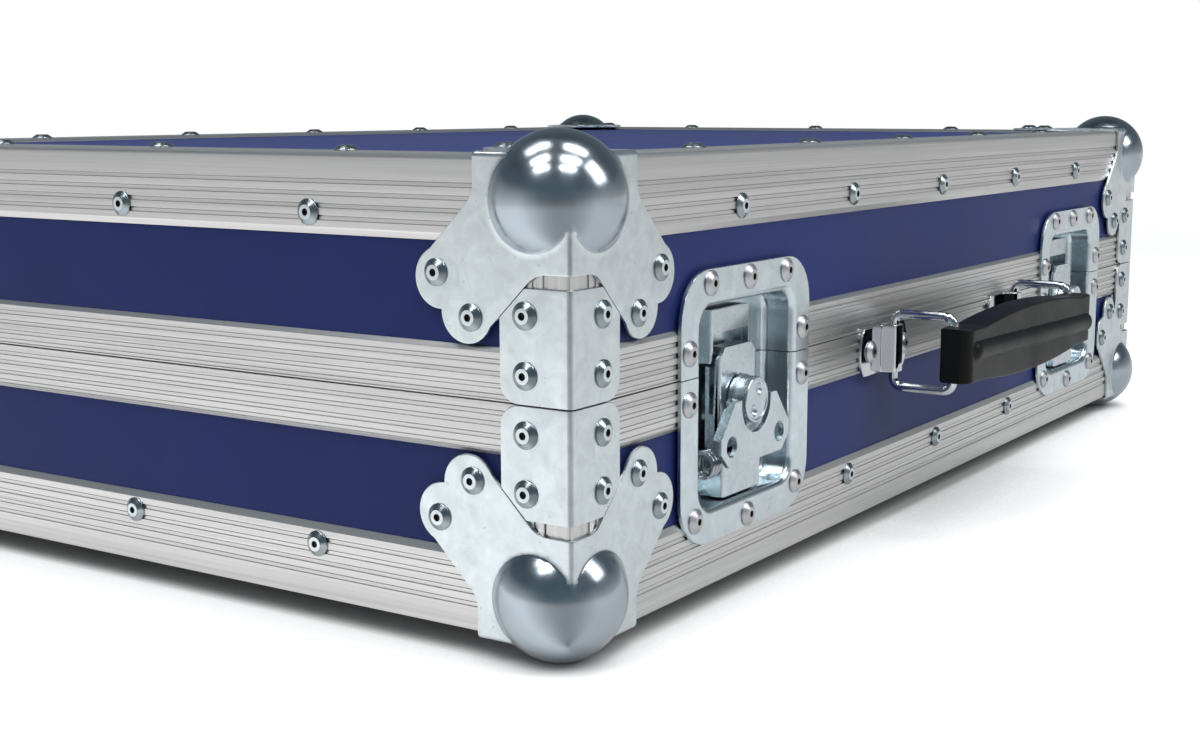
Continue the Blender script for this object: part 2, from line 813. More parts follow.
def leg_corners(upward):
    """One leg of the case angle as (along, depth) corners with their radii: four recesses, then
    the bevelled end. The grooves lie against the recesses' upper edges."""
    corners, radii = [], []
    for k in range(4):
        start = FIRST_RECESS + RECESS_PITCH * k
        end = start + chosen_size("recess_width")
        more, bends = recess(end, start) if upward else recess(start, end)
        way = -1 if upward else 1
        corners += more[::way]
        radii += bends[::way]
    corners += [(LEG - LEG_BEVEL, 0), (LEG, ANGLE_T - BEVEL_LAND), (LEG, ANGLE_T)]
    return np.array(corners), radii + [0.6, 0.15, 0.15]


def angle_section(upward=False):
    """The case angle as (p, q): a rounded outer corner, a leg along p and one along q, which is
    turned for an angle whose second leg points up."""
    leg, radii = leg_corners(False)
    second, more = leg_corners(upward)
    corners = np.concatenate([[(0, 0)], leg, [(ANGLE_T, ANGLE_T)], second[::-1, ::-1]])
    return fillet(corners, [2, *radii, 0.4, *more[::-1]], 2)


def closure_section(lid):
    """Half of the closure profile as (depth, height from the seam): an outer wall with four
    recesses, a web, an inner wall, and the lid's tongue."""
    seam, end = (HALF_GAP, PROFILE_REACH) if lid else (-HALF_GAP, -PROFILE_REACH)
    if lid:
        mouth = [(WALL, 1), (3.8, 1), (3.8, -3.6), (6.8, -3.6), (6.8, 1), (INNER_WALL, 1)]
        web, lip, way = 2.6, LIP, -1
        middles = (14.2, 9.9, 5.7, 1.9)
    else:
        mouth = [(WALL, -5), (INNER_WALL, -5)]
        web, lip, way = -6.6, -LIP, 1
        middles = (-16.3, -12.2, -7.8, -3.8)
    corners = [(0, seam), (WALL, seam), *mouth, (INNER_WALL, seam), (PROFILE_DEEP, seam),
               (PROFILE_DEEP, end), (INNER_WALL, end), (INNER_WALL, web), (WALL, web),
               (WALL, lip), (WALL - BEVEL_LAND, lip), (0, end)]
    radii = [0.3] + [0.12] * (len(corners) - 2) + [0.5]
    half = chosen_size("recess_width") / 2
    for middle in middles:
        more, bends = recess(middle + half, middle - half)
        corners += [(depth, height) for height, depth in more[::-way]]
        radii += bends[::-way]
    return fillet(corners, radii, 3)


class FLIGHTCASE_OT_case_angles(bpy.types.Operator):
    """The twelve case angles: along X, along Y and upright."""

    bl_idname = "flight_case.case_angles"
    bl_label = "Case Angles"

    def execute(self, context):
        for part, z, up in (("base", BOTTOM, 1), ("lid", TOP, -1)):
            section = angle_section(up > 0)
            rise, upright = (0, 0, up), (0, 0, 1)
            runs = {}
            for side, y, inward in (("front", FRONT, 1), ("back", BACK, -1)):
                runs[f"{part}_{side}_angle"] = 0, [((0, y, z), (0, inward, 0), rise, (1, 0, 0))]
            for side, x, inward in (("left", LEFT, 1), ("right", RIGHT, -1)):
                runs[f"{part}_{side}_angle"] = 1, [((x, 0, z), (inward, 0, 0), rise, (0, 1, 0))]
            runs[f"{part}_corner_angles"] = 2, [
                ((x, y, 0), (px, 0, 0), (0, qy, 0), upright)
                for x, px in ((LEFT, 1), (RIGHT, -1))
                for y, qy in ((FRONT, 1), (BACK, -1))
            ]
            for node, (axis, places) in runs.items():
                low, high = box(node)
                parts = [(*put(bar(section, low[axis], high[axis]), *at), 0) for at in places]
                make_piece(f"{node}_extrusion", node, parts,
                           [f"drawn {'xyz'[axis]}"], EXTRUSION_SHARP)
        return {"FINISHED"}


class FLIGHTCASE_OT_closure_profiles(bpy.types.Operator):
    """The tongue and groove round the seam, mitred at the corners and open at both latches."""

    bl_idname = "flight_case.closure_profiles"
    bl_label = "Closure Profiles"

    def execute(self, context):
        front, rise = (0, FRONT, SEAM), (0, 0, 1)
        lengths = [
            (LEFT, -LATCH_X - LATCH_ROOM, (1, 0), front, (0, 1, 0), 0),
            (-LATCH_X + LATCH_ROOM, LATCH_X - LATCH_ROOM, (0, 0), front, (0, 1, 0), 0),
            (LATCH_X + LATCH_ROOM, RIGHT, (0, -1), front, (0, 1, 0), 0),
            (LEFT, RIGHT, (1, -1), (0, BACK, SEAM), (0, -1, 0), 0),
            (FRONT, BACK, (1, -1), (LEFT, 0, SEAM), (1, 0, 0), 1),
            (FRONT, BACK, (1, -1), (RIGHT, 0, SEAM), (-1, 0, 0), 1),
        ]
        along = ((1, 0, 0), (0, 1, 0))
        for lid, node in ((False, "base_groove_profile"), (True, "lid_tongue_profile")):
            section = closure_section(lid)
            parts = [
                (*put(bar(section, start, end, lean), origin, inward, rise, along[axis]), axis)
                for start, end, lean, origin, inward, axis in lengths
            ]
            make_piece(f"{node}_extrusion", node, parts,
                       ["drawn x", "drawn y"], EXTRUSION_SHARP)
        return {"FINISHED"}


# Ball corners and braces

# The ball, and how far its middle lies inside the case's faces
BALL_R = 24.3
BALL_IN = 15.0
CUBE_HALF = BALL_IN + BALL_T
BALL_RING = math.sqrt(BALL_R**2 - CUBE_HALF**2)
EDGE_ROUND = 2.1
CREASE = 0.8
POLISHED = 2.2

# Points of the ball's mesh
BALL_PITCH = 1.05
BALL_REACH = 21.5
RING_CLEAR = 0.55

# The corner's plates, seen flat
PLATE_SIDE = 39.75
LOBE_PLACE = (54.3, 42.8)
LOBE_R = 11.1
FLANK = 26.2
FLARE_R = 10.4

# Braces
BRACE_W = 28.8
BRACE_BEND = 1.1
BRACE_ROUND = 7.5
BRACE_CUT = 4.65


def soft_max(x, y, width):
    """The larger of two values, rounded where they are within the width of each other."""
    near = np.maximum(width - np.abs(x - y), 0) / width
    return np.maximum(x, y) + near**2 * width / 4


def skin(u, v, plane, radius, rounding):
    """The ball and plate's skin over a face's (u, v): along the ray (a, b, -1) from the ball's
    middle, with a and b the distances over the plane's, t is the soft maximum of the sphere's
    r / |(a, b, 1)| and the plate's, and the sphere's alone in the corner where a and b are
    negative. Where the plate turns the case's edge, t follows a cylinder of the rounding."""
    a, b = (np.where(k < BALL_IN, (k - BALL_IN) / CUBE_HALF, (k - BALL_IN) / plane)
            for k in (u, v))
    sphere = radius / np.sqrt(1 + a**2 + b**2)
    turn = np.minimum(np.minimum(a, b), -1e-9)
    inner = plane - rounding
    size = turn**2 + 1
    root = (1 - turn) ** 2 * inner**2 - size * (2 * inner**2 - rounding**2)
    bent = ((1 - turn) * inner + np.sqrt(np.maximum(root, 0))) / size
    flat = np.where(-turn * plane > inner, bent, plane)
    corner = (a < 0) & (b < 0)
    t = np.where(corner, sphere, soft_max(sphere, flat, CREASE))
    share = np.clip(0.5 + (flat - sphere) / CREASE / 2, 0, 1) * ~corner
    reach = t + (plane - t) * share
    x = BALL_IN + a * np.where(a < b, t, reach)
    y = BALL_IN + b * np.where(a < b, reach, t)
    return np.stack([x, y, BALL_IN - t], 1)


def lobed_outline():
    """Outline of a corner plate and which of its sides join the neighbouring plates: along both
    case edges, straight, by a hollow arc to the slanted flank, and round the two lobes."""
    edge = -BALL_T
    rows = np.linspace(edge, EDGE_ROUND - BALL_T, 5)
    along = np.concatenate([rows[:-1], np.linspace(rows[-1], PLATE_SIDE, 34)])
    bottom = np.column_stack([along, np.full(len(along), edge)])
    straight = np.column_stack([np.full(4, PLATE_SIDE), rows[1:]])
    flare_foot = PLATE_SIDE - FLANK - FLARE_R * math.tan(math.pi / 8)
    flare = arc((PLATE_SIDE + FLARE_R, flare_foot), FLARE_R, 180, 135, 6)
    far, near = LOBE_PLACE
    half = math.sqrt(LOBE_R**2 - (far - near - FLANK) ** 2 / 2)
    foot = np.array([far + near + FLANK, far + near - FLANK]) / 2 - half / math.sqrt(2)
    start = math.degrees(math.atan2(foot[1] - near, foot[0] - far))
    valley = (far + near) / 2 + math.sqrt(LOBE_R**2 / 2 - (far - near) ** 2 / 4)
    end = math.degrees(math.atan2(valley - near, valley - far))
    half_side = np.concatenate([bottom, straight, flare, arc(LOBE_PLACE, LOBE_R, start, end, 26)])
    outline = np.concatenate([half_side, half_side[::-1, ::-1][1:-1]])
    on_edge = np.abs(outline - edge) < 1e-6
    return outline, (on_edge & np.roll(on_edge, -1, 0)).any(1)


def ball_points():
    """Points inside a corner plate: a lattice over the ball, a ring where it meets the plate, and
    rows where the plate turns the case's edge."""
    fold = EDGE_ROUND - BALL_T
    lattice = hexes((-0.6, -0.6), (38, 38), BALL_PITCH)
    reach = np.hypot(*(lattice - BALL_IN).T)
    lattice = lattice[(reach < BALL_REACH) & (abs(reach - BALL_RING) > RING_CLEAR)]
    ring = arc((BALL_IN, BALL_IN), BALL_RING, 0, 360, 120)[:-1]
    lattice = np.concatenate([lattice, ring])
    lattice = lattice[lattice.min(1) > fold + 0.35]
    rows = np.linspace(-BALL_T, fold, 5)[1:]
    strip = pairs(np.arange(fold + 1, PLATE_SIDE - 0.6, 1.1), rows)
    return np.concatenate([lattice, strip, strip[:, ::-1], pairs(rows, rows)])


def ball_corner():
    """One ball corner at the origin of its case corner: three plates that share the ball."""
    outline, joined = lobed_outline()
    flat, faces = plate(outline, (), BALL_T, 0.35, ball_points(), joined)
    u, v, height = flat.T
    inner = skin(u, v, BALL_IN, BALL_R - BALL_T, 0.6)
    outer = skin(u, v, CUBE_HALF, BALL_R, EDGE_ROUND)
    share = (height / BALL_T)[:, None]
    face = inner * (1 - share) + outer * share
    polished = np.linalg.norm(face - BALL_IN, axis=1) > BALL_R - POLISHED
    away = np.hypot(*(np.maximum(flat[:, :2], EDGE_ROUND - BALL_T) - BALL_IN).T)
    near = (away < BALL_RING + 0.05) | (flat[:, :2].max(1) < BALL_IN)
    marks = [int((polished & near)[f].all()) for f in faces]
    turns = ([0, 1, 2], [0, 2, 1], [2, 1, 0])
    return [(face[:, turn], faces, marks) for turn in turns]


class FLIGHTCASE_OT_ball_corners(bpy.types.Operator):
    """Four ball corners on the base and four on the lid."""

    bl_idname = "flight_case.ball_corners"
    bl_label = "Ball Corners"

    def execute(self, context):
        corner = ball_corner()
        for part, top in (("base", False), ("lid", True)):
            node = f"{part}_ball_corners"
            parts = []
            for place in four_corners(top):
                for points, faces, marks in corner:
                    placed = at_corner(points, *place)
                    for mark in (0, 1):
                        parts.append((placed, [f for f, m in zip(faces, marks) if m == mark], mark))
            make_piece(f"{node}_pressing", node, parts, ["zinc", "ball"], 40)
        return {"FINISHED"}


def brace():
    """A corner brace as (x, y, height from its low end): one sheet folded round the case's edge,
    with its low corners cut along the plate's flank and its seam corners rounded."""
    low, high = box("base_corner_braces")
    tall = high[2] - low[2]
    path = fillet([(0, BRACE_W), (0, 0), (BRACE_W, 0)], [0, BRACE_BEND, 0], 6, closed=False)
    length = run_length(path)[-1]
    tuck = BRACE_W + FLANK - PLATE_SIDE - BRACE_CUT
    fold = length / 2 + np.linspace(-1, 1, 7) * (length / 2 - (BRACE_W - BRACE_BEND))
    corners = [(tuck, 0), (length - tuck, 0), (length, tuck), (length, tall), (0, tall), (0, tuck)]
    outline = fillet(corners, [1, 1, 1, BRACE_ROUND, BRACE_ROUND, 1], 8)
    across, height = outline.T
    cut = np.flatnonzero((height < 1e-6) & (across < length / 2)).max()
    outline = np.insert(outline, cut + 1, np.column_stack([fold, np.zeros(7)]), 0)
    across, height = outline.T
    cut = np.flatnonzero((height > tall - 1e-6) & (across > length / 2)).max()
    outline = np.insert(outline, cut + 1, np.column_stack([fold[::-1], np.full(7, tall)]), 0)
    extra = pairs(fold, np.linspace(2.5, tall - 2.5, 14))
    flat, faces = plate(outline, (), BRACE_T, 0.3, extra)
    flat[:, 2] *= -1
    return follow(flat, path), faces


class FLIGHTCASE_OT_corner_braces(bpy.types.Operator):
    """Eight braces, four under the seam and four over it."""

    bl_idname = "flight_case.corner_braces"
    bl_label = "Corner Braces"

    def execute(self, context):
        points, faces = brace()
        for part, way in (("base", 1), ("lid", -1)):
            node = f"{part}_corner_braces"
            low, high = box(node)
            start = low[2] if way > 0 else high[2]
            parts = []
            for right, back, _ in four_corners(False):
                placed = at_corner(points, right, back, False)
                placed[:, 2] = start + way * points[:, 2]
                parts.append((placed, faces, 0))
            make_piece(f"{node}_pressing", node, parts, ["zinc"], 30)
        return {"FINISHED"}


# Rivets

RIVET_PROFILE = [(0, 0), (4.9, 0), (5.0, 0.15), (5.0, 0.45), (4.85, 0.68), (3.0, 1.86),
                 (2.85, 1.97), (2.75, 2.0), (1.4, 2.0), (1.28, 1.92), (1.22, 1.7), (1.18, 0.9),
                 (0.6, 0.75), (0, 0.75)]
BORE_R = 1.42
RIVET_FINISHES = {
    "base_rivets": ["steel rivet", "bore", "zinc"],
    "lid_rivets": ["steel rivet", "bore", "zinc"],
    "lid_latch_rivets": ["rivet", "bore", "rivet"],
    "base_latch_rivets": ["rivet", "bore", "rivet"],
    "handle_rivets": ["rivet", "bore", "rivet"],
}


class FLIGHTCASE_OT_rivets(bpy.types.Operator):
    """Blind rivets at the CAD's places: a conical head with a flat ring round a dark bore."""

    bl_idname = "flight_case.rivets"
    bl_label = "Rivets"

    def execute(self, context):
        points, faces = revolve(RIVET_PROFILE, 32)
        faces = np.array(faces)
        reach = np.hypot(points[faces][..., 0], points[faces][..., 1]).max(1)
        height = points[faces][..., 2].min(1)
        in_bore = (reach < BORE_R) & (height > 0.5)
        on_ring = (reach > BORE_R) & (reach < 2.8) & (height > 1.9)
        middle = np.array([0, (FRONT + BACK) / 2, (TOP + BOTTOM) / 2])
        for node, finishes in RIVET_FINISHES.items():
            parts = []
            for k, (low, high) in enumerate(islands(node)):
                axis = int(np.argmin(high - low))
                centre = (low + high) / 2
                way = 1 if centre[axis] > middle[axis] else -1
                placed = np.empty_like(points)
                turned = points @ np.array(Matrix.Rotation(math.radians(37 * k), 3, "Z"))
                placed[:, [i for i in range(3) if i != axis]] = turned[:, :2]
                placed[:, axis] = way * turned[:, 2]
                centre[axis] = low[axis] if way > 0 else high[axis]
                for mark, chosen in enumerate((~in_bore & ~on_ring, in_bore, on_ring)):
                    parts.append((placed + centre, faces[chosen].tolist(), mark))
            make_piece(f"{node}_heads", node, parts, finishes, 30)
        return {"FINISHED"}


# Latches

# Dish
FLANGE_HALF = 53
FLANGE_R = 20
PAN_HALF = 38
PAN_R = 9
PAN_DEPTH = 13
MOUTH_R = 3
SPINDLE_HOLE_R = 4.05

# Spindle
CAP_R = 9.3
CAP_OUT = -5.4
CAP_FACE = -5.0
DIMPLES = ((1.9, 4.1), (-1.9, -4.1))
DIMPLE_R = 2.5
DIMPLE_DEPTH = 1.3
# Radius, near and far depth and drop of the cam, the shaft and the riveted head
SPINDLE_PARTS = ((6, 4, 11.5, 2.5), (4, 4.5, 15.8, 0), (6, 14.8, 16, 0))
BARREL_WIRE_R = 9.45
BARREL_WIRE = 0.38
BARREL_WIRE_DEPTHS = (0.6, 1.5)

# Spring and channel
SPRING_R = 5.0
SPRING_WIRE = 0.9
SPRING_PITCH = 2.4
SPRING_PLACE = (6.5, -38)
CHANNEL_HALF = 15.8


def half_ring(width, low, radius, depth, steps=8):
    """The lower half of a rounded rectangle at a depth, from its left side at the seam, round
    the bottom, to its right side at the seam."""
    left = arc((-width + radius, low + radius), radius, 180, 270, steps)
    right = arc((width - radius, low + radius), radius, 270, 360, steps)
    ring = np.concatenate([[(-width, -HALF_GAP)], left, right, [(width, -HALF_GAP)]])
    return np.column_stack([ring, np.full(len(ring), depth)])


def dish_half(drop, pan_drop, hole):
    """The half of a latch dish below the seam, as (x, height, depth): half rings from the edge
    of the flange, over the rounded mouth, down the pan's wall to its floor, and back again
    behind, with the cut at the seam as one face."""
    turn = np.linspace(0, math.pi / 2, 7)
    sin, cos = np.sin(turn), np.cos(turn)
    wide, narrow = MOUTH_R + DISH_T, MOUTH_R - DISH_T
    bends = (
        (narrow, MOUTH_R - MOUTH_R * sin, -MOUTH_R * cos),
        (PAN_DEPTH - MOUTH_R, MOUTH_R * cos - MOUTH_R, MOUTH_R * sin),
        (PAN_DEPTH - MOUTH_R, wide * sin - MOUTH_R, wide * cos),
        (narrow, MOUTH_R - narrow * cos, -narrow * sin),
    )
    rows = [(FLANGE_HALF - back, drop - back, FLANGE_R - back_r, depth)
            for back, back_r, depth in ((0, 0, 0.0), (0, 0, -1.1), (0.12, 0.1, -1.38),
                                        (0.4, 0.4, -DISH_T))]
    for deep, out, more in bends:
        rows += [(PAN_HALF + o, pan_drop + o, PAN_R + o, deep + m) for o, m in zip(out, more)]
    front = len(rows) - 2 * len(turn)
    rings = [half_ring(width, -low, radius, depth) for width, low, radius, depth in rows]
    n = len(rings[0])
    points = np.concatenate(rings)
    faces = grid_faces(len(rows), n, wrap_rows=True)
    faces = faces[faces[:, 0] // n != front - 1].tolist()
    floor_ids, back_ids = (front - 1) * n + np.arange(n), front * n + np.arange(n)
    loops = [rings[front - 1][:, :2]]
    if hole:
        loops.append(arc((0, SPINDLE_Z - SEAM), SPINDLE_HOLE_R, 0, -360, 24)[:-1])
    inner = triangles(loops)
    start = len(points)
    for k, ids in enumerate((floor_ids, back_ids)):
        if hole:
            ids = np.concatenate([ids, start + 24 * k + np.arange(24)])
        faces += ids[inner].tolist()
    if hole:
        holes = [np.column_stack([loops[1], np.full(24, d)])
                 for d in (PAN_DEPTH, PAN_DEPTH + DISH_T)]
        points = np.concatenate([points, *holes])
        faces += (grid_faces(2, 24, wrap_columns=True) + start).tolist()
    first, last = np.arange(len(rows)) * n, np.arange(len(rows)) * n + n - 1
    cut = [first[:front], last[:front][::-1], last[front:][::-1], first[front:]]
    faces.append(np.concatenate(cut).tolist())
    return points, faces


class FLIGHTCASE_OT_latch_dishes(bpy.types.Operator):
    """Both dishes, each in a lower half on the base and an upper half on the lid."""

    bl_idname = "flight_case.latch_dishes"
    bl_label = "Latch Dishes"

    def execute(self, context):
        for node, drop, pan_drop, hole, way in (
            ("lower_latch_dishes", 66.3, 52.8, True, 1),
            ("upper_latch_dishes", 40.6, 26.1, False, -1),
        ):
            shape = dish_half(drop, pan_drop, hole)
            parts = [
                (*put(shape, (x, FRONT, SEAM), (1, 0, 0), (0, 0, way), (0, 1, 0)), 0)
                for x in (-LATCH_X, LATCH_X)
            ]
            make_piece(f"{node}_pressing", node, parts, ["dish zinc"], 32)
        return {"FINISHED"}


def spindle_cap():
    """The barrel and its cap as (x, z, depth): a rounded rim round a lower face with two
    dimples, each sunk by d min(1.6 (1 - (r / R)^2), 1)."""
    rim = fillet([(CAP_R, 5), (CAP_R, CAP_OUT), (8.2, CAP_OUT), (7.9, CAP_FACE), (7.6, CAP_FACE)],
                 [0, 0.7, 0.35, 0.4, 0], 4, closed=False)
    face = np.column_stack([np.linspace(7.4, 0, 36), np.full(36, CAP_FACE)])
    points, faces = revolve(np.concatenate([[(0, 5)], rim, face]), 64)
    on_face = (points[:, 2] < CAP_FACE + 0.1) & (np.hypot(points[:, 0], points[:, 1]) < 7.5)
    for place in DIMPLES:
        away = np.hypot(*(points[:, :2] - place).T)
        dip = DIMPLE_DEPTH * np.clip(1.6 * (1 - (away / DIMPLE_R) ** 2), 0, 1)
        points[:, 2] += np.where(on_face, dip, 0)
    return points, faces


class FLIGHTCASE_OT_latch_spindles(bpy.types.Operator):
    """Each spindle with its barrel, cam, shaft and riveted head, and a thin wire ring on it."""

    bl_idname = "flight_case.latch_spindles"
    bl_label = "Latch Spindles"

    def execute(self, context):
        shapes = [spindle_cap()]
        for radius, near, far, drop in SPINDLE_PARTS:
            profile = fillet([(0, near), (radius, near), (radius, far), (0, far)],
                             [0, 0.3, 0.3, 0], 2, closed=False)
            points, faces = revolve(profile, 48)
            shapes.append((points - (0, drop, 0), faces))
        turn = np.linspace(0, 2 * math.pi, 64, endpoint=False)
        for depth in BARREL_WIRE_DEPTHS:
            path = np.stack([BARREL_WIRE_R * np.cos(turn), BARREL_WIRE_R * np.sin(turn),
                             np.full(64, depth)], 1)
            shapes.append(tube(path, BARREL_WIRE, 8, closed=True))
        for side, x in (("left", -LATCH_X), ("right", LATCH_X)):
            parts = [
                (*put(shape, (x, FRONT, SPINDLE_Z), (1, 0, 0), (0, 0, 1), (0, 1, 0)), 0)
                for shape in shapes
            ]
            make_piece(f"{side}_spindle_turning", f"{side}_spindle", parts,
                       ["pale zinc"], 35, flat=False)
        return {"FINISHED"}


class FLIGHTCASE_OT_latch_springs(bpy.types.Operator):
    """Torsion springs: three turns round an axis along X, with a leg on each side."""

    bl_idname = "flight_case.latch_springs"
    bl_label = "Latch Springs"

    def execute(self, context):
        turn = np.linspace(0, 3 * 2 * math.pi, 73)
        depth, height = SPRING_PLACE
        coil = np.stack([-CHANNEL_HALF - SPRING_WIRE - 0.3 - SPRING_PITCH * turn / (2 * math.pi),
                         depth + SPRING_R * np.cos(turn), height + SPRING_R * np.sin(turn)], 1)
        low_leg = coil[0] + np.outer([-7, -5, -3, -1], (0, 0, 1))
        high_leg = coil[-1] + np.outer([1, 3, 5.5, 8], (0, 0, 1))
        path = np.concatenate([low_leg, coil, high_leg])
        parts = [
            (*tube(path + (x, FRONT, SEAM), SPRING_WIRE, 12, (1, 0, 0)), 0)
            for x in (-LATCH_X, LATCH_X)
        ]
        make_piece("latch_springs_wire", "latch_springs", parts, ["spring"], 50,
                   flat=False)
        return {"FINISHED"}


def upright_bends(reach):
    """Picks the upright outer edges at the given distance from a latch's middle."""
    def test(middle, run):
        beside = abs(abs(abs(middle[0]) - LATCH_X) - reach) < 0.3
        return abs(run[2]) > 0.9 and beside and middle[1] < FRONT + 7.5
    return test


class FLIGHTCASE_OT_latch_pressings(bpy.types.Operator):
    """Keepers, channels, sliders, hooks and wings: the CAD's shapes with rounded bends."""

    bl_idname = "flight_case.latch_pressings"
    bl_label = "Latch Pressings"

    def execute(self, context):
        steel = ["pale zinc"]
        pressed_copy("latch_keepers_pressing", "latch_keepers", steel,
                     bends=(upright_bends(16), 1.6))
        pressed_copy("latch_channels_pressing", "latch_channels", steel,
                     bends=(upright_bends(CHANNEL_HALF), 1.6))
        for side in ("left", "right"):
            for part, width, bends in (
                ("slider", 0.3, None),
                ("hook", 0.4, (upright_bends(15), 1.4)),
                ("wing", 0.5, None),
            ):
                node = f"{side}_{part}"
                pressed_copy(f"{node}_pressing", node, steel, width, 3, bends)
            node = f"{side}_wing_pin"
            pressed_copy(f"{node}_turning", node, ["chrome"], 0.2)
        return {"FINISHED"}


# Handle

# Ring holders
HOLDER_X = 80
HOLDER_HALF = 11.0
HOLDER_ARCH = 17.0
HOLDER_STEP = 6.9
HOLDER_Z = SEAM - 9.5

# Rings
RING_HALF = 17
RING_NEAR = 5
RING_FAR = 34
RING_ROUND = 4.2
RING_Z = SEAM - 10.5

# Grip
GRIP_BACK = 30
GRIP_FRONT = 45
GRIP_HALF = 16
GRIP_END_HALF = 12.3
GRIP_END_R = 5.0
GRIP_EDGE = 0.9
GRIP_Z = SEAM - 10.1
RIDGE_R = 5.5
RIDGE_SINK = 3.0
RIDGE_TILT = math.radians(1.4)


class FLIGHTCASE_OT_handle_plates(bpy.types.Operator):
    """Both ring holders: one sheet that lies on the case, steps out over the wire and lies flat
    again, with arched ends."""

    bl_idname = "flight_case.handle_plates"
    bl_label = "Handle Ring Holders"

    def execute(self, context):
        path = fillet([(-28.5, 0), (-5.6, 0), (-3.0, HOLDER_STEP), (2.9, HOLDER_STEP), (4.2, 0),
                       (23.5, 0)], [0, 2, 1.5, 1.4, 1.2, 0], 5, closed=False)
        length = run_length(path)
        z = np.linspace(-HOLDER_HALF, HOLDER_HALF, 13)
        bow = HOLDER_ARCH - np.sqrt(HOLDER_ARCH**2 - z**2)
        bend = length[1:-1]
        outline = np.concatenate([
            np.column_stack([bend, np.full(len(bend), -HOLDER_HALF)]),
            np.column_stack([length[-1] - bow, z]),
            np.column_stack([bend[::-1], np.full(len(bend), HOLDER_HALF)]),
            np.column_stack([bow, z])[::-1],
        ])
        extra = pairs(bend, np.linspace(-HOLDER_HALF + 2, HOLDER_HALF - 2, 7))
        flat, faces = plate(outline, (), HOLDER_T, 0.4, extra, steps=3)
        shape = follow(flat, path), faces
        parts = [
            (*put(shape, (x, FRONT, HOLDER_Z), (1, 0, 0), (0, -1, 0), (0, 0, 1)), 0)
            for x in (HANDLE_X - HOLDER_X, HANDLE_X + HOLDER_X)
        ]
        make_piece("handle_plates_pressing", "handle_plates", parts, ["chrome"], 40)
        return {"FINISHED"}


class FLIGHTCASE_OT_handle_rings(bpy.types.Operator):
    """The two wire rings: a tube along a rectangle with rounded corners."""

    bl_idname = "flight_case.handle_rings"
    bl_label = "Handle Rings"

    def execute(self, context):
        corners = [(RING_NEAR, -RING_HALF), (RING_FAR, -RING_HALF), (RING_FAR, RING_HALF),
                   (RING_NEAR, RING_HALF)]
        path = fillet(corners, RING_ROUND, 10)
        fine = []
        for a, b in zip(path, np.roll(path, -1, 0)):
            n = max(1, int(np.linalg.norm(b - a) / 3))
            fine.append(a + (b - a) * np.arange(n)[:, None] / n)
        fine = np.concatenate(fine)
        for side, x in (("left", HANDLE_X - HOLDER_X), ("right", HANDLE_X + HOLDER_X)):
            across = np.full(len(fine), x)
            route = np.stack([across, FRONT - fine[:, 0], RING_Z + fine[:, 1]], 1)
            shape = tube(route, chosen_size("ring_wire") / 2, 20, (1, 0, 0), closed=True)
            make_piece(f"{side}_ring_wire", f"{side}_ring", [(*shape, 0)], ["chrome"], 60,
                       flat=False)
        return {"FINISHED"}


def grip_section():
    """The grip's section as shares of its half depth and half height, with what a rounded edge
    takes off each: e (1 - sin q) of the depth and e (1 - cos q) of the height, with q from 0 to
    90 degrees. The front has many points for the ridge."""
    q = np.linspace(0, math.pi / 2, 4)
    less_out, less_up = GRIP_EDGE * (1 - np.sin(q)), GRIP_EDGE * (1 - np.cos(q))
    front = np.linspace(1, -1, 61)[1:-1]
    rows = []
    for side, lift, way in ((1, 1, 1), (1, -1, -1), (-1, -1, 1), (-1, 1, -1)):
        rows += [(side, lift, -side * a, -lift * b)
                 for a, b in zip(less_out[::way], less_up[::way])]
        if (side, lift) == (1, 1):
            rows += [(1, share, 0, -GRIP_EDGE * share) for share in front]
    return np.array(rows).T


class FLIGHTCASE_OT_handle_grip(bpy.types.Operator):
    """The moulded grip: sections across X with a height that swells as an arc, ends rounded in
    plan, and a half-round ridge along its front."""

    bl_idname = "flight_case.handle_grip"
    bl_label = "Handle Grip"

    def execute(self, context):
        low, high = box("handle_grip")
        length = high[0] - low[0]
        turn = np.linspace(0, math.pi / 2, 7)
        near = GRIP_END_R * (1 - np.cos(turn))
        along = np.concatenate([near, np.linspace(GRIP_END_R, length - GRIP_END_R, 110)[1:-1],
                                length - near[::-1]])
        x = along - length / 2
        swell, reach = GRIP_HALF - GRIP_END_HALF, length / 2 - 20
        arc_r = (reach**2 + swell**2) / (2 * swell)
        tall = GRIP_HALF - arc_r + np.sqrt(np.maximum(arc_r**2 - x**2, 0))
        tall = np.maximum(GRIP_END_HALF, tall)
        to_end = np.clip(GRIP_END_R - np.minimum(along, length - along), 0, GRIP_END_R)
        cut = GRIP_END_R - np.sqrt(np.maximum(GRIP_END_R**2 - to_end**2, 0))
        back, front = (GRIP_BACK + cut * 0.35)[:, None], (GRIP_FRONT - cut)[:, None]
        side, lift, in_out, in_up = grip_section()
        out = (back + front) / 2 + side * (front - back) / 2 + in_out
        up = lift * tall[:, None] + in_up
        from_axis = up + (x * math.tan(RIDGE_TILT))[:, None]
        before = np.maximum(10 - along, 0)[:, None]
        after = np.maximum(along - (length - RIDGE_R), 0)[:, None] * 9
        bulge = RIDGE_R**2 - from_axis**2 - before**2 - after**2
        bulge = np.maximum(np.sqrt(np.maximum(bulge, 0)) - RIDGE_SINK, 0)
        out = out + np.where((side > 0) & (in_out == 0), bulge, 0) * (cut[:, None] < 0.5)
        n = len(side)
        across = np.broadcast_to((HANDLE_X + x)[:, None], out.shape)
        points = np.stack([across, FRONT - out, GRIP_Z + up], -1).reshape(-1, 3)
        faces = grid_faces(len(x), n, wrap_columns=True).tolist() + end_faces(len(x), n)
        make_piece("handle_grip_moulding", "handle_grip", [(points, faces, 0)],
                   ["plastic"], 40)
        return {"FINISHED"}


# Lining, panels and hinges


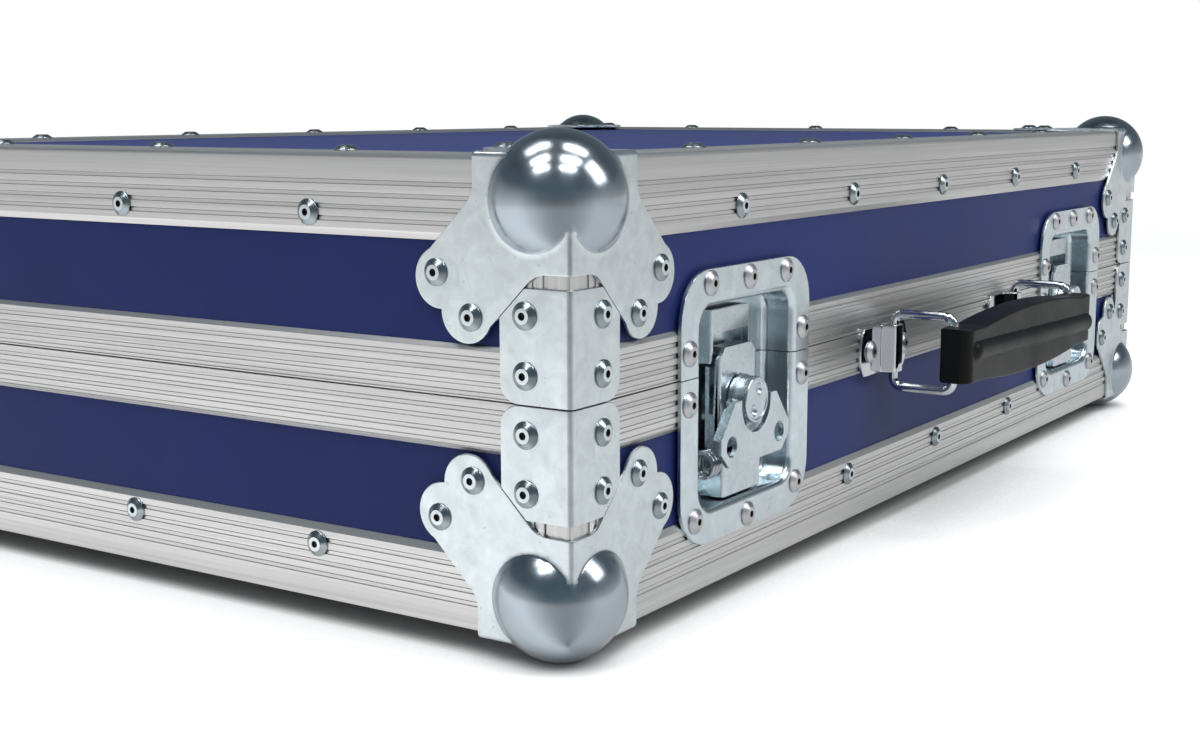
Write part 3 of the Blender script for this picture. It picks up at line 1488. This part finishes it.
class FLIGHTCASE_OT_foam_lining(bpy.types.Operator):
    """The foam sheets as soft blocks with rounded edges and a slight unevenness: each point moves
    inwards by 0.35 + 0.3 sin(x / 23 + z / 9) sin(y / 19) at the skin."""

    bl_idname = "flight_case.foam_lining"
    bl_label = "Foam Lining"

    def execute(self, context):
        for node in ("base_foam", "lid_foam"):
            parts = []
            for low, high in islands(node):
                points, faces = soft_box(low, high, 1.6, 14.0)
                wave = np.sin(points[:, 0] / 23 + points[:, 2] / 9) * np.sin(points[:, 1] / 19)
                middle = (low + high) / 2
                share = (points - middle) / np.abs(high - low)
                points = points - share * (0.35 + 0.3 * wave)[:, None]
                parts.append((points, faces, 0))
            made = make_piece(f"{node}_lining", node, parts, ["foam"], 60, flat=False)
        return {"FINISHED"}


class FLIGHTCASE_OT_dress_panels(bpy.types.Operator):
    """The laminated panels keep their CAD meshes and take the laminate."""

    bl_idname = "flight_case.dress_panels"
    bl_label = "Panels"

    def execute(self, context):
        for node, made in NODES.items():
            if node.endswith("_panel"):
                made.data.materials.clear()
                made.data.materials.append(material("laminate"))
        return {"FINISHED"}


class FLIGHTCASE_OT_hinges(bpy.types.Operator):
    """Hinge leaves and pins: the CAD's shapes with rounded edges."""

    bl_idname = "flight_case.hinges"
    bl_label = "Hinges"

    def execute(self, context):
        for node in ("hinge_base_leaves", "hinge_lid_leaves"):
            pressed_copy(f"{node}_pressing", node, ["zinc"], 0.3)
        pressed_copy("hinge_pins_turning", "hinge_pins", ["chrome"], 0.3)
        return {"FINISHED"}


# Stage

CAMERA_PLACE = (-0.78612, -0.51353, 0.19618)
CAMERA_YAW, CAMERA_PITCH, CAMERA_ROLL = (math.radians(a) for a in (33.298, -9.101, -0.080))
CAMERA_LENS = 50.436
HEADING = np.array([math.cos(CAMERA_YAW), math.sin(CAMERA_YAW), 0.0])
RIGHTWARD = np.array([math.sin(CAMERA_YAW), -math.cos(CAMERA_YAW), 0.0])
LAMP_AIM_IN = 12
LAMP_HEIGHT = 1.9
LAMP_SIZE = (0.95, 0.36)
LAMP_SPOTS = ((-0.06, 0.49), (-0.51, 0.25), (-0.86, 0.09), (0.31, -0.25), (-0.10, -0.48),
              (-0.42, -0.68))
FRONT_LAMP_TURN, FRONT_LAMP_RISE = math.radians(-66), math.radians(35)
FRONT_LAMP_AWAY = 2.2
FRONT_LAMP_SIZE = (1.1, 0.8)
FLOOR_HALF = 60.0
TEAL, DEEP_TEAL = (0.17, 0.26, 0.31, 1), (0.17, 0.23, 0.28, 1)
WHITE, BLACK = (1, 1, 1, 1), (0, 0, 0, 1)


def direction(turn, rise):
    """The direction at an angle from +X and an angle from level."""
    return Vector((math.cos(turn) * math.cos(rise), math.sin(turn) * math.cos(rise),
                   math.sin(rise)))


def make_camera():
    """The photograph's camera: its heading is the yaw from +X and the pitch from level."""
    data = bpy.data.cameras.new("photo_camera")
    data.lens = CAMERA_LENS
    data.sensor_width = 36
    camera = bpy.data.objects.new("photo_camera", data)
    bpy.context.scene.collection.objects.link(camera)
    ahead, right = direction(CAMERA_YAW, CAMERA_PITCH), Vector(RIGHTWARD)
    turn = Matrix((right, right.cross(ahead), -ahead)).transposed()
    turn = turn @ Matrix.Rotation(CAMERA_ROLL, 3, "Z")
    camera.matrix_world = Matrix.Translation(CAMERA_PLACE) @ turn.to_4x4()
    bpy.context.scene.camera = camera


def softbox(name, place, size, power, target):
    """A rectangular lamp that faces a target."""
    data = bpy.data.lights.new(name, "AREA")
    data.shape = "RECTANGLE"
    data.size, data.size_y = size
    data.energy = power
    lamp = bpy.data.objects.new(name, data)
    bpy.context.scene.collection.objects.link(lamp)
    back = (Vector(place) - Vector(target)).normalized()
    along = Vector(HEADING)
    up = (along - along.project(back)).normalized()
    lamp.matrix_world = Matrix.Translation(place) @ Matrix(
        (up.cross(back), up, back)).transposed().to_4x4()


def make_lamps():
    """Six ceiling softboxes in two columns along the camera's heading, and a big front one."""
    ball = Vector((LEFT + LAMP_AIM_IN, FRONT + LAMP_AIM_IN, TOP - LAMP_AIM_IN)) * MM
    power = bpy.context.scene.flight_case_looks.lamp_power
    for k, (x, y) in enumerate(LAMP_SPOTS):
        place = ball + Vector((x, y, 1)) * LAMP_HEIGHT
        down = place - Vector((0, 0, 1))
        softbox(f"ceiling_softbox_{k + 1}", place, LAMP_SIZE, power, down)
    place = ball + direction(FRONT_LAMP_TURN, FRONT_LAMP_RISE) * FRONT_LAMP_AWAY
    softbox("front_softbox", place, FRONT_LAMP_SIZE, power * 1.1, ball)


def make_world():
    """White where the camera looks; for reflections and light a pale room whose ceiling and the
    side behind the camera are darker."""
    world = bpy.data.worlds.new("studio")
    bpy.context.scene.world = world
    world.use_nodes = True
    tree = world.node_tree
    tree.nodes.clear()
    way = add(tree, "ShaderNodeTexCoord").outputs["Generated"]
    rise = add(tree, "ShaderNodeSeparateXYZ", None, Vector=way).outputs[2]
    behind, aside = dot(tree, way, -HEADING), dot(tree, way, RIGHTWARD)
    above = blend(tree, band(tree, rise, 0.45, 0.85), DEEP_TEAL, (0.05, 0.07, 0.09, 1))
    room = blend(tree, band(tree, rise, 0.04, 0.32), WHITE, above)
    room = blend(tree, band(tree, aside, 0.1, 0.8, 0.0, 0.25), room, (0.20, 0.22, 0.24, 1))
    dark = maths(tree, "MULTIPLY", band(tree, behind, 0.45, 0.92), 0.9)
    room = blend(tree, dark, room, TEAL)
    ahead = maths(tree, "MULTIPLY", band(tree, behind, -0.8, -0.3, 0.6, 0.0),
                  band(tree, rise, 0.0, 0.08))
    room = blend(tree, ahead, room, (0.20, 0.25, 0.28, 1))
    looks = bpy.context.scene.flight_case_looks
    light = add(tree, "ShaderNodeBackground", None, Color=room, Strength=looks.room_light)
    white = add(tree, "ShaderNodeBackground", None, Color=WHITE, Strength=1.0)
    seen = add(tree, "ShaderNodeLightPath").outputs["Is Camera Ray"]
    mixed = add(tree, "ShaderNodeMixShader", None, Fac=seen, n1=light.outputs[0],
                n2=white.outputs[0])
    out = tree.nodes.new("ShaderNodeOutputWorld")
    tree.links.new(mixed.outputs[0], out.inputs[0])


def floor_finish():
    """White where the camera looks, less where the case covers the sky. In reflections it is
    dimmer near the case, towards the camera and to the right, and under the case."""
    made, tree, shader, place = start_material("white floor")
    away = add(tree, "ShaderNodeVectorMath", {"operation": "LENGTH"}, n0=place).outputs["Value"]
    far = band(tree, away, 0.9, 2.0)
    open_sky = add(tree, "ShaderNodeAmbientOcclusion", {"samples": 8}, Distance=0.34).outputs["AO"]
    shade = band(tree, open_sky, 0.12, 0.70)
    glow = band(tree, far, 0, 1, bpy.context.scene.flight_case_looks.floor_glow, 1.0)
    near_corner = (LEFT * MM, FRONT * MM, 0.0)
    aim = add(tree, "ShaderNodeVectorMath", {"operation": "SUBTRACT"}, n0=place, n1=near_corner)
    aim = add(tree, "ShaderNodeVectorMath", {"operation": "NORMALIZE"}, n0=aim.outputs[0])
    lit = band(tree, dot(tree, aim.outputs[0], -HEADING), 0.40, 1.0, 1.0, 0.30)
    close = band(tree, dot(tree, aim.outputs[0], RIGHTWARD), -0.6, 0.6, 0.72, 0.28)
    mirrored = maths(tree, "MULTIPLY", blend_value(tree, far, close, 0.8), lit)
    mirrored = maths(tree, "MULTIPLY", mirrored, band(tree, open_sky, 0.25, 0.70, 0.15, 1.0))
    rays = add(tree, "ShaderNodeLightPath").outputs
    glow = maths(tree, "MULTIPLY", rays["Is Camera Ray"], maths(tree, "MULTIPLY", glow, shade))
    glow = maths(tree, "ADD", glow, maths(tree, "MULTIPLY", rays["Is Glossy Ray"], mirrored))
    covered = maths(tree, "MULTIPLY", rays["Is Camera Ray"], maths(tree, "SUBTRACT", 1.0, shade))
    near = blend(tree, covered, (0.60, 0.60, 0.60, 1), (0.34, 0.34, 0.34, 1))
    hidden = maths(tree, "MULTIPLY", rays["Is Glossy Ray"], band(tree, lit, 0, 1, 0.7, 0.2))
    near = blend(tree, hidden, near, BLACK)
    wire(tree, shader, Base_Color=blend(tree, far, near, BLACK), Roughness=0.9,
         Specular_IOR_Level=0.0, Emission_Color=WHITE, Emission_Strength=glow)
    return made


def make_floor():
    """A plain white floor that keeps the case's soft shadow."""
    mesh = bpy.data.meshes.new("studio_floor")
    corners = FLOOR_HALF * np.array([(-1, -1, 0), (1, -1, 0), (1, 1, 0), (-1, 1, 0)])
    mesh.from_pydata(corners.tolist(), [], [(0, 1, 2, 3)])
    mesh.materials.append(floor_finish())
    floor = bpy.data.objects.new("studio_floor", mesh)
    bpy.context.scene.collection.objects.link(floor)


class FLIGHTCASE_OT_stage(bpy.types.Operator):
    """The camera, lamps, room and floor."""

    bl_idname = "flight_case.stage"
    bl_label = "Stage"

    def execute(self, context):
        make_camera()
        make_lamps()
        make_world()
        make_floor()
        return {"FINISHED"}


# Add-on


class FlightCaseSizes(bpy.types.PropertyGroup):
    """Sizes of the finished shapes that a user would change."""

    recess_width: FloatProperty(
        name="Recess Width", description="Width of each recess along the extrusions",
        default=1.9 * MM, min=1.0 * MM, max=2.4 * MM, unit="LENGTH", precision=5,
    )
    recess_depth: FloatProperty(
        name="Recess Depth", description="Depth of each recess along the extrusions",
        default=0.6 * MM, min=0.2 * MM, max=1.0 * MM, unit="LENGTH", precision=5,
    )
    ring_wire: FloatProperty(
        name="Ring Wire", description="Diameter of the wire of the handle's rings",
        default=4.2 * MM, min=2.0 * MM, max=4.4 * MM, unit="LENGTH", precision=5,
    )


class FlightCaseLooks(bpy.types.PropertyGroup):
    """Colours and lamps that a user would change."""

    laminate: FloatVectorProperty(
        name="Laminate", description="Colour of the laminated panels", size=3,
        default=(40 / 255, 52 / 255, 106 / 255), min=0, max=1, subtype="COLOR_GAMMA",
    )
    aluminium: FloatVectorProperty(
        name="Aluminium", description="Colour of the extrusions", size=3,
        default=(212 / 255, 211 / 255, 210 / 255), min=0, max=1, subtype="COLOR_GAMMA",
    )
    lamp_power: FloatProperty(
        name="Lamp Power", description="Power of each ceiling softbox", default=12.5, min=0,
        unit="POWER",
    )
    room_light: FloatProperty(
        name="Room Light", description="Strength of the light from all round", default=0.65,
        min=0, max=2, subtype="FACTOR",
    )
    floor_glow: FloatProperty(
        name="Floor Glow", description="How much white the floor adds for the camera",
        default=0.66, min=0, max=1, subtype="FACTOR",
    )


OPERATORS = (
    FLIGHTCASE_OT_case_angles,
    FLIGHTCASE_OT_closure_profiles,
    FLIGHTCASE_OT_ball_corners,
    FLIGHTCASE_OT_corner_braces,
    FLIGHTCASE_OT_rivets,
    FLIGHTCASE_OT_latch_dishes,
    FLIGHTCASE_OT_latch_spindles,
    FLIGHTCASE_OT_latch_springs,
    FLIGHTCASE_OT_latch_pressings,
    FLIGHTCASE_OT_handle_plates,
    FLIGHTCASE_OT_handle_rings,
    FLIGHTCASE_OT_handle_grip,
    FLIGHTCASE_OT_dress_panels,
    FLIGHTCASE_OT_foam_lining,
    FLIGHTCASE_OT_hinges,
    FLIGHTCASE_OT_stage,
)


class FLIGHTCASE_PT_panel(bpy.types.Panel):
    """Lists the settings and the operators in the 3D view's sidebar."""

    bl_label = "Flight Case"
    bl_idname = "FLIGHTCASE_PT_panel"
    bl_space_type = "VIEW_3D"
    bl_region_type = "UI"
    bl_category = "Flight Case"

    def draw(self, context):
        scene = context.scene
        for group in (scene.flight_case_sizes, scene.flight_case_looks):
            for name in type(group).__annotations__:
                self.layout.prop(group, name)
        for made in OPERATORS:
            self.layout.operator(made.bl_idname)


CLASSES = (FlightCaseSizes, FlightCaseLooks, *OPERATORS, FLIGHTCASE_PT_panel)


def register():
    """Adds the classes and the settings of the scene."""
    for made in CLASSES:
        bpy.utils.register_class(made)
    bpy.types.Scene.flight_case_sizes = PointerProperty(type=FlightCaseSizes)
    bpy.types.Scene.flight_case_looks = PointerProperty(type=FlightCaseLooks)


def unregister():
    """Takes the classes and the settings away again."""
    del bpy.types.Scene.flight_case_looks
    del bpy.types.Scene.flight_case_sizes
    for made in reversed(CLASSES):
        bpy.utils.unregister_class(made)


def main():
    """Registers the add-on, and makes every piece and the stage."""
    register()
    bpy.context.scene.view_settings.view_transform = "Standard"
    for made in OPERATORS:
        word = made.bl_idname.split(".")[1]
        getattr(bpy.ops.flight_case, word)()


if __name__ == "__main__":
    main()
